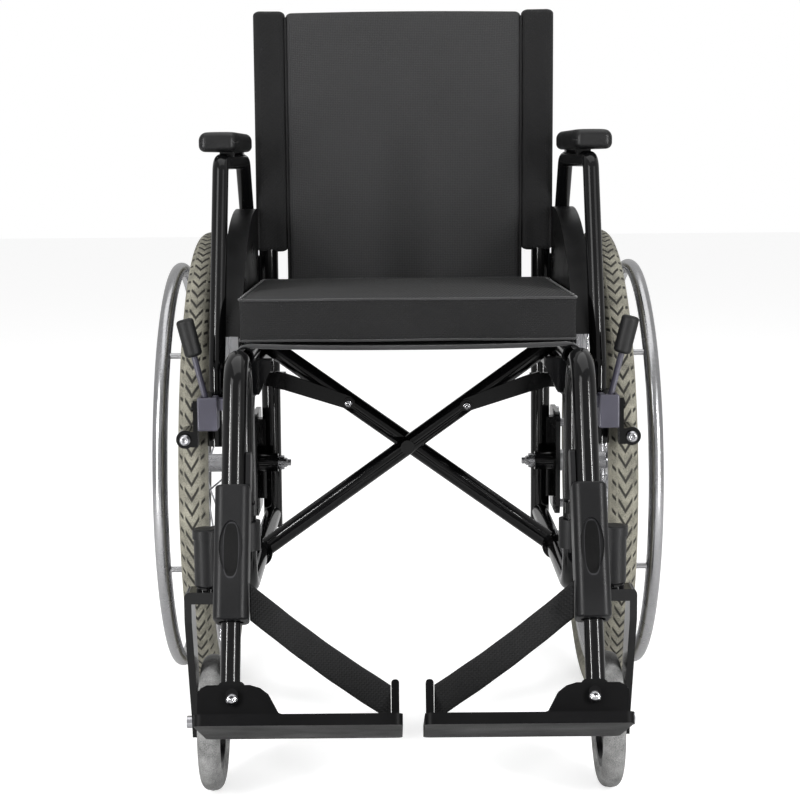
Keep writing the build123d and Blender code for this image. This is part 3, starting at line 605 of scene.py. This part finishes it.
def seatCushion():
    low, high = [np.array(p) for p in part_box("seat_cushion")]
    middle = (low + high) / 2
    half = (high - low) / 2
    inset = 0.0025

    def shape(p):
        q = (p - middle) / half
        crown = np.clip(1 - q[:, 0] ** 4, 0, 1) * np.clip(1 - q[:, 1] ** 4, 0, 1)
        p = p.copy()
        p[:, 2] += cushion["crown"] * crown * (q[:, 2] > 0.5)
        p[:, 2] += cushion["rise"] * (0.5 - 0.5 * q[:, 1]) * (0.5 + 0.5 * q[:, 2])
        waist = (1 - q[:, 2] ** 2) * cushion["waist"]
        p[:, 0] -= np.sign(q[:, 0]) * waist * (np.abs(q[:, 0]) > 0.9)
        p[:, 1] -= np.sign(q[:, 1]) * waist * (np.abs(q[:, 1]) > 0.9)
        side = np.maximum(np.abs(q[:, 0]), np.abs(q[:, 1])) > 0.93
        p[:, 1] += side * (np.abs(q[:, 1]) > 0.93) * 0.0007 * ripple(p * [1, 0.2, 1], 0.09, 5)
        p[:, 2] += 0.0008 * ripple(p * [1, 1, 0.1], 0.13, 8) * crown * (q[:, 2] > 0)
        return p

    body = boxGrid("cushion_cover", low + inset * np.array([1, 1, 0.6]),
        high - inset * np.array([1, 1, 0.6]), cushion["round"], (72, 72, 12), shape)
    paint(body, "fabricSeat")
    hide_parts("seat_cushion")
    made = [body]
    for label, z in (("top", high[2] - 0.0018), ("bottom", low[2] + 0.0026)):
        loop = roundedLoop(low[:2] + 0.0022, high[:2] - 0.0022, 0.008, z, 260)
        if label == "top":
            loop[:, 2] += cushion["rise"] * (high[1] - loop[:, 1]) / (high[1] - low[1])
        loop[:, 2] += 0.00025 * np.sin(loop[:, 0] * 34 + (3 if label == "top" else 0))
        cord = tubePiece("cushion_piping_" + label, loop, cushion["piping"], 10, closed=True)
        paint(cord, "fabricEdge")
        made.append(cord)
    for piece in made:
        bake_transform(piece)


def roundedLoop(low, high, radius, z, count):
    x0, y0, x1, y1 = low[0], low[1], high[0], high[1]
    corners = [(x1 - radius, y0 + radius, -90), (x1 - radius, y1 - radius, 0),
        (x0 + radius, y1 - radius, 90), (x0 + radius, y0 + radius, 180)]
    line = []
    for cx, cy, start in corners:
        for a in np.radians(np.linspace(start, start + 90, 9)):
            line.append((cx + radius * np.cos(a), cy + radius * np.sin(a), z))
    line = np.array(line + [line[0]])
    steps = np.concatenate([[0], np.cumsum(np.linalg.norm(np.diff(line, axis=0), axis=1))])
    want = np.linspace(0, steps[-1], count, endpoint=False)
    return np.stack([np.interp(want, steps, line[:, k]) for k in range(3)], axis=-1)


def seatSling():
    low, high = [np.array(p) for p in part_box("seat_sling")]
    across = np.linspace(-1, 1, 90)
    along = np.linspace(low[1], high[1], 60)
    half = high[0] - 0.003
    # hangs between the rails, lowest in the middle, and turns down round each rail
    top = high[2] - 0.0004 - 0.0035 * (1 - np.abs(across) ** 2.6)
    wrap = np.clip(np.abs(across) - 0.965, 0, 1) / 0.035
    x = across * half + np.sign(across) * 0.010 * wrap
    drop = 0.011 * wrap ** 2
    sheet = np.zeros((len(along), len(across), 3))
    sheet[..., 0] = x[None, :]
    sheet[..., 1] = along[:, None]
    sheet[..., 2] = (top - drop)[None, :] + 0.0003 * np.sin(along * 70)[:, None] * (1 - across ** 2)[None, :]
    thick = np.array([0, 0, 0.0022])
    ring = np.concatenate([sheet, (sheet - thick)[:, ::-1]], axis=1)
    piece = gridPiece("sling_sheet", ring, closeAcross=True, closeAlong=False, capEnds=True)
    paint(piece, "fabricBlack")
    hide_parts("seat_sling")
    made = [piece]
    for label, y in (("front", low[1]), ("rear", high[1])):
        line = np.stack([x, np.full_like(x, y), top - drop - 0.001], axis=-1)
        hem = tubePiece("sling_hem_" + label, line, 0.0026, 10, up=(0, 1, 0))
        paint(hem, "fabricEdge")
        made.append(hem)
    for item in made:
        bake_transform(item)


seatCushion()
seatSling()
print("stage: seat made")

# ---------- back ----------
back = {"keep": 0.134, "seam": 0.0015}


def backPanel():
    low, high = [np.array(p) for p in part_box("back_panel")]
    middle = (low + high) / 2
    half = (high - low) / 2

    def shape(p):
        q = (p - middle) / half
        p = p.copy()
        puff = np.clip(1 - q[:, 0] ** 6, 0, 1) * np.clip(1 - q[:, 2] ** 8, 0, 1)
        p[:, 1] += -0.004 * puff * (q[:, 1] < 0) + 0.002 * puff * (q[:, 1] > 0)
        p[:, 1] += 0.0012 * ripple(p * [1, 0, 0.5], 0.16, 3) * puff
        p[:, 2] += 0.0018 * np.cos(p[:, 0] * 9) * (q[:, 2] > 0.8)
        return p

    panel = boxGrid("back_cover", low + 0.0008, high - 0.0008, (0.008, 0.008, 0.007), (64, 8, 72), shape)
    paint(panel, "fabricBlack")
    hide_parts("back_panel")
    made = [panel]
    for label, sign in (("left", 1), ("right", -1)):
        z = np.linspace(low[2] + 0.008, high[2] - 0.006, 90)
        x = np.full_like(z, middle[0] + sign * (half[0] - 0.001))
        y = np.full_like(z, low[1] + 0.0025) + 0.0004 * np.sin(z * 90)
        seam = tubePiece("back_piping_" + label, np.stack([x, y, z], axis=-1), back["seam"], 10, up=(0, 1, 0))
        paint(seam, "webbing")
        made.append(seam)
    for item in made:
        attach(item, "right_frame")
        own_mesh(item)


def backSleeve(side):
    low, high = [np.array(p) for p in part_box(side + "_back_sleeve")]
    sign = 1 if side == "left" else -1
    middle = (low + high) / 2
    half = (high - low) / 2

    def shape(p):
        q = (p - middle) / half
        p = p.copy()
        # fuller over the tube on the outer side, thin towards the panel
        outward = q[:, 0] * sign
        full = 0.62 + 0.38 * np.clip(outward * 1.2 + 0.3, 0, 1)
        p[:, 1] = middle[1] + (p[:, 1] - middle[1]) * full
        p[:, 1] += 0.0012 * ripple(p * [1, 0, 0.6], 0.12, 11 if sign > 0 else 12)
        p[:, 0] += 0.0008 * ripple(p * [0, 1, 1], 0.2, 14) * (outward > 0.8)
        return p

    sleeve = boxGrid(side + "_sleeve_cover", low - [0.0004, 0.0012, 0], high + [0.0004, 0.0012, 0.002],
        (0.009, 0.011, 0.006), (16, 14, 90), shape)
    paint(sleeve, "fabricSeat")
    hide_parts(side + "_back_sleeve")
    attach(sleeve, side + "_frame")


backPanel()
for side in ("left", "right"):
    backSleeve(side)
print("stage: back made")

# ---------- arm pads ----------
pad = {"round": 0.0075}


def armPad(side):
    low, high = [np.array(p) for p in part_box(side + "_arm_pad")]
    middle = (low + high) / 2
    half = (high - low) / 2

    def shape(p):
        q = (p - middle) / half
        p = p.copy()
        # narrower and rounder towards the front, thinner at its sides
        front = np.clip((-q[:, 1] - 0.6) / 0.4, 0, 1)
        p[:, 0] = middle[0] + (p[:, 0] - middle[0]) * (1 - 0.1 * front ** 2.2)
        p[:, 2] -= np.where(q[:, 2] > 0, 0.0022 * q[:, 0] ** 4 + 0.0015 * front ** 2, 0)
        p[:, 2] -= 0.0006 * np.exp(-((q[:, 2] + 0.35) / 0.08) ** 2)
        return p

    piece = boxGrid(side + "_pad_skin", low, high, (0.008, 0.009, pad["round"]), (30, 70, 14), shape)
    paint(piece, "padFoam")
    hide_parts(side + "_arm_pad")
    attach(piece, side + "_armrest")


for side in ("left", "right"):
    armPad(side)
print("stage: arm pads made")

# ---------- heel straps ----------


def heelStrap(side):
    low, high = [np.array(p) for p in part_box(side + "_heel_strap")]
    sign = 1 if side == "left" else -1
    outer = high[0] if sign > 0 else low[0]
    inner = low[0] if sign > 0 else high[0]
    v = np.empty(len(nodes[side + "_heel_strap"].data.vertices) * 3)
    nodes[side + "_heel_strap"].data.vertices.foreach_get("co", v)
    v = v.reshape(-1, 3)
    ends = []
    for x in (outer, inner):
        near = v[np.abs(v[:, 0] - x) < 0.003]
        ends.append((near.mean(axis=0), near[:, 2].max() - near[:, 2].min()))
    (a, wideA), (b, wideB) = ends
    t = np.linspace(0, 1, 70)[:, None]
    line = a + (b - a) * t
    bow = np.sin(np.pi * t[:, 0])
    line[:, 1] += 0.007 * bow
    line[:, 2] -= 0.006 * bow
    across = np.linspace(-1, 1, 15)
    run = (b - a) / np.linalg.norm(b - a)
    wide = np.array([0, 0, 1.0])
    face = np.cross(run, wide)
    face /= np.linalg.norm(face)
    half = (wideA + (wideB - wideA) * t[:, 0]) / 2 * 0.98
    sheet = line[:, None] + half[:, None, None] * across[None, :, None] * wide
    sheet = sheet + (0.0006 * np.sin(t * 26) * np.ones((1, 15)))[..., None] * face
    edge = 0.0011 * (1 - 0.5 * np.abs(across) ** 6)[None, :, None] * face
    ring = np.concatenate([sheet + edge, (sheet - edge)[:, ::-1]], axis=1)
    piece = gridPiece(side + "_heel_webbing", ring)
    paint(piece, "webbing")
    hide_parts(side + "_heel_strap")
    # the edges are cut along the slope, so the flat width is square to it
    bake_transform(piece)


for side in ("left", "right"):
    heelStrap(side)
print("stage: heel straps made")

# ---------- bright fasteners ----------
fastener = {"shoe": 0.0062, "shoeIn": 0.0105, "plate": 0.0058, "plateOut": 0.0022, "plateIn": 0.0008,
    "lean": 24, "link": 0.0046, "linkTall": 0.003}


def nodePoints(name):
    v = np.empty(len(nodes[name].data.vertices) * 3)
    nodes[name].data.vertices.foreach_get("co", v)
    return v.reshape(-1, 3)


def boltHead(name, centre, axis, radius, body, tall=0.0035, finish="brightSteel"):
    # lathe profile (radius, height): washer, domed head, socket
    r = radius
    profile = np.array([(0.0002, tall * 0.45), (r * 0.36, tall * 0.45), (r * 0.42, tall), (r * 0.7, tall),
        (r * 0.82, tall * 0.75),
                        (r * 0.84, tall * 0.3), (r, tall * 0.24), (r, 0.0), (0.0002, 0.0)])
    axis = np.array(axis, dtype=float)
    axis /= np.linalg.norm(axis)
    side = np.cross(axis, (0, 0, 1) if abs(axis[2]) < 0.9 else (1, 0, 0))
    side /= np.linalg.norm(side)
    up = np.cross(side, axis)
    turn = np.linspace(0, 2 * np.pi, 40, endpoint=False)
    ring = side[None, :] * np.cos(turn)[:, None] + up[None, :] * np.sin(turn)[:, None]
    points = np.array(centre) + profile[:, None, 0:1] * ring[None] + profile[:, None, 1:2] * axis
    piece = gridPiece(name, points, closeAcross=True, closeAlong=False, capEnds=True)
    paint(piece, finish)
    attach(piece, body)
    return piece


def placeBolts():
    for side, sign in (("left", 1), ("right", -1)):
        low, high = [np.array(c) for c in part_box(side + "_brake_shoe")]
        inset = fastener["shoeIn"]
        x = high[0] - inset if sign > 0 else low[0] + inset
        boltHead(side + "_shoe_bolt", (x, low[1] - 0.0001, low[2] + inset), (0, -1, 0), fastener["shoe"],
            side + "_brake_stop")
        v = nodePoints(side + "_footrest_leg")
        foremost = v[:, 1].min()
        tip = v[v[:, 1] < foremost + 0.0012]
        pin = v[v[:, 1] < foremost + 0.004]
        lean = math.radians(fastener["lean"])
        middle = ((pin[:, 0].min() + pin[:, 0].max()) / 2,
            foremost + fastener["plateOut"] - fastener["plateIn"], tip[:, 2].mean())
        boltHead(side + "_plate_bolt", middle, (0, -math.cos(lean), math.sin(lean)), fastener["plate"],
            side + "_hanger")
        v = nodePoints(side + "_link")
        inner = v[:, 0].min() if sign > 0 else v[:, 0].max()
        near = v[(np.abs(v[:, 0] - inner) < 0.017) & (v[:, 1] < v[:, 1].min() + 0.0005)]
        boltHead(side + "_link_bolt", near.mean(axis=0) + np.array([0, -0.0001, 0]), (0, -1, 0),
            fastener["link"], side + "_brace_link", tall=fastener["linkTall"])


placeBolts()
print("stage: fasteners made")

# ---------- room ----------
room = {"floor": 0.7, "glow": 0.55, "sky": 0.55, "key": 24.0, "fill": 11.0, "top": 44.0, "strip": 44.0}


def makeRoom():
    floor = addMesh("floor", [(-12, -12, -0.0006), (12, -12, -0.0006), (12, 14, -0.0006),
        (-12, 14, -0.0006)], [(0, 1, 2, 3)], smooth=False)
    material, tree, shader, place = startMaterial("paleFloor")
    shader.inputs["Base Color"].default_value = (room["floor"],) * 3 + (1,)
    shader.inputs["Roughness"].default_value = 0.9
    shader.inputs["Specular IOR Level"].default_value = 0.1
    shader.inputs["Emission Color"].default_value = (1, 1, 1, 1)
    floorRays = tree.nodes.new("ShaderNodeLightPath")
    link(tree, rangeNode(tree, floorRays.outputs["Is Camera Ray"], 0.0, room["glow"], 0.0, 1.0),
        shader.inputs["Emission Strength"])
    floor.data.materials.append(material)
    world = bpy.data.worlds.new("studio")
    bpy.context.scene.world = world
    world.use_nodes = True
    tree = world.node_tree
    back = tree.nodes["Background"]
    back.inputs["Color"].default_value = (1, 1, 1, 1)
    rays = tree.nodes.new("ShaderNodeLightPath")
    tree.links.new(rangeNode(tree, rays.outputs["Is Camera Ray"], room["sky"], 1.0, 0.0, 1.0),
        back.inputs["Strength"])
    for name, place, aim, wide, tall, power in (
        ("keyLight", (-1.9, -2.4, 2.7), (0, 0, 0.5), 1.4, 1.4, room["key"]),
        ("fillLight", (2.3, -2.0, 1.9), (0, 0, 0.45), 1.6, 1.6, room["fill"]),
        ("topLight", (0.2, 0.4, 3.4), (0, 0.3, 0), 3.4, 3.4, room["top"]),
        ("leftStrip", (-1.5, -1.6, 0.8), (0, 0, 0.5), 0.1, 1.7, room["strip"]),
        ("rightStrip", (1.5, -1.6, 0.8), (0, 0, 0.5), 0.1, 1.7, room["strip"]),
    ):
        light = bpy.data.lights.new(name, "AREA")
        light.energy = power
        light.shape = "RECTANGLE"
        light.size = wide
        light.size_y = tall
        holder = bpy.data.objects.new(name, light)
        holder.location = place
        holder.rotation_euler = (Vector(aim) - Vector(place)).to_track_quat("-Z", "Y").to_euler()
        bpy.context.scene.collection.objects.link(holder)


view = {"x": -0.0182, "back": 2.331, "height": 0.706, "pitch": 0.1359, "roll": -0.00836, "lens": 80.118,
    "shiftX": 0.0098}


def makeCamera():
    low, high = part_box("left_rear_hub")
    axleY = (low[1] + high[1]) / 2
    data = bpy.data.cameras.new("camera")
    data.lens = view["lens"]
    data.sensor_width = 36
    data.shift_x = view["shiftX"]
    data.clip_start = 0.05
    camera = bpy.data.objects.new("camera", data)
    turn = Matrix.Rotation(math.pi / 2 - view["pitch"], 4, "X") @ Matrix.Rotation(view["roll"], 4, "Z")
    camera.matrix_world = Matrix.Translation((view["x"], axleY - view["back"], view["height"])) @ turn
    bpy.context.scene.collection.objects.link(camera)
    bpy.context.scene.camera = camera
    bpy.context.scene.view_settings.view_transform = "Standard"


makeRoom()
makeCamera()
print("stage: room and camera made")
